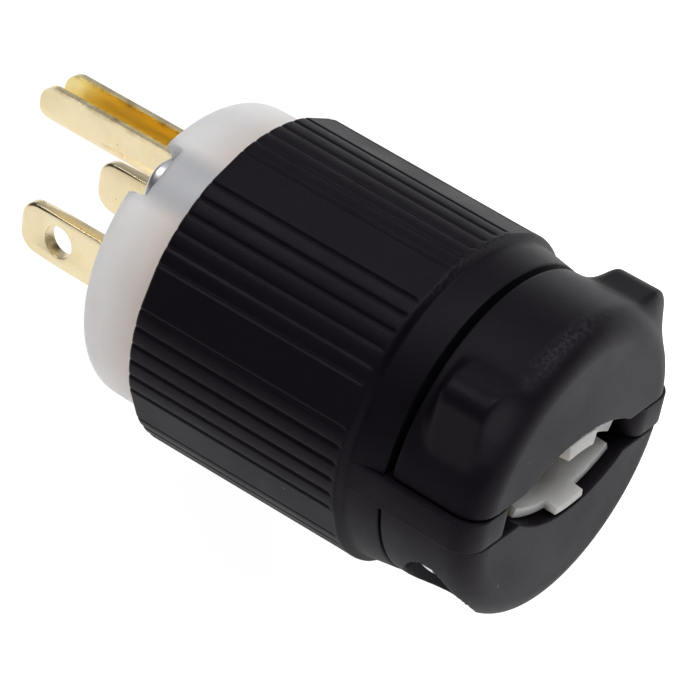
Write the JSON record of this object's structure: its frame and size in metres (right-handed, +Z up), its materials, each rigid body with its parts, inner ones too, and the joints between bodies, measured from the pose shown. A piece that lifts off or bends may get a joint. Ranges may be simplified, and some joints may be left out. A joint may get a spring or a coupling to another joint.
{
  "type": "power plug",
  "caption": "Straight-blade grounding power plug with flat brass blades, a folded ground pin, a white face, a ribbed black shell and a screwed two-part cord clamp.",
  "frame": {"origin": "centre of the front face, where the shell's axis meets it", "axes": "+X along the plug's axis towards the tips of the blades; +Z up from the surface that the plug lies on, so the ground pin leans 22.5 degrees from +Z towards -Y"},
  "size_m": [0.0734, 0.0392, 0.039],
  "materials": {
    "white_nylon": "satin, slightly translucent",
    "black_nylon": "fine matte mould texture",
    "brass": "stamped, lightly polished",
    "steel": "zinc plated"
  },
  "bodies": {
    "root": {"front_face": "white_nylon", "terminal_base": "white_nylon", "line_blade": "brass", "neutral_blade": "brass", "ground_pin": "brass", "line_plate": "brass", "neutral_plate": "brass", "ground_plate": "brass", "line_screw": "steel", "neutral_screw": "steel", "ground_screw": "steel", "shell": "black_nylon", "upper_clamp": "black_nylon", "lower_clamp": "black_nylon", "upper_grip": "white_nylon", "lower_grip": "white_nylon", "left_clamp_screw": "steel", "right_clamp_screw": "steel", "upper_assembly_screw": "steel", "lower_assembly_screw": "steel"}
  },
  "joints": []
}
